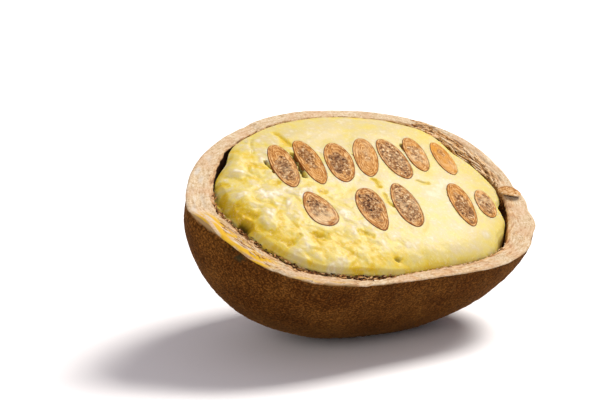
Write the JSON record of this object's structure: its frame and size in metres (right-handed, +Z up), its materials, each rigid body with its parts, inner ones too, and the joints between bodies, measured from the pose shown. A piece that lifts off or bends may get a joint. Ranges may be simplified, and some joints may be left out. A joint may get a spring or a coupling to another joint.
{
  "type": "cupuacu fruit cut lengthwise",
  "caption": "Half of a cupuacu fruit cut lengthwise, a brown felted woody rind filled with pale yellow pulp and cut seeds, resting on its belly.",
  "frame": {"origin": "middle of the bounding box's base, on the surface that the half rests on", "axes": "+X along the fruit towards its blunt end, +Y towards the back, where the cut rim is highest, +Z up"},
  "size_m": [0.1692, 0.1074, 0.0943],
  "materials": {
    "rind": "woody shell with short brown felt outside and a pale fibrous cut rim",
    "pulp": "wet fibrous cream-yellow fruit flesh",
    "seed": "cut seed: tan kernel marbled with brown inside a thin dark skin"
  },
  "bodies": {
    "root": {"rind": "rind", "pulp": "pulp", "seed_back_1": "seed", "seed_back_2": "seed", "seed_back_3": "seed", "seed_back_4": "seed", "seed_back_5": "seed", "seed_back_6": "seed", "seed_back_7": "seed", "seed_front_1": "seed", "seed_front_2": "seed", "seed_front_3": "seed", "seed_front_4": "seed", "seed_front_5": "seed"}
  },
  "joints": []
}
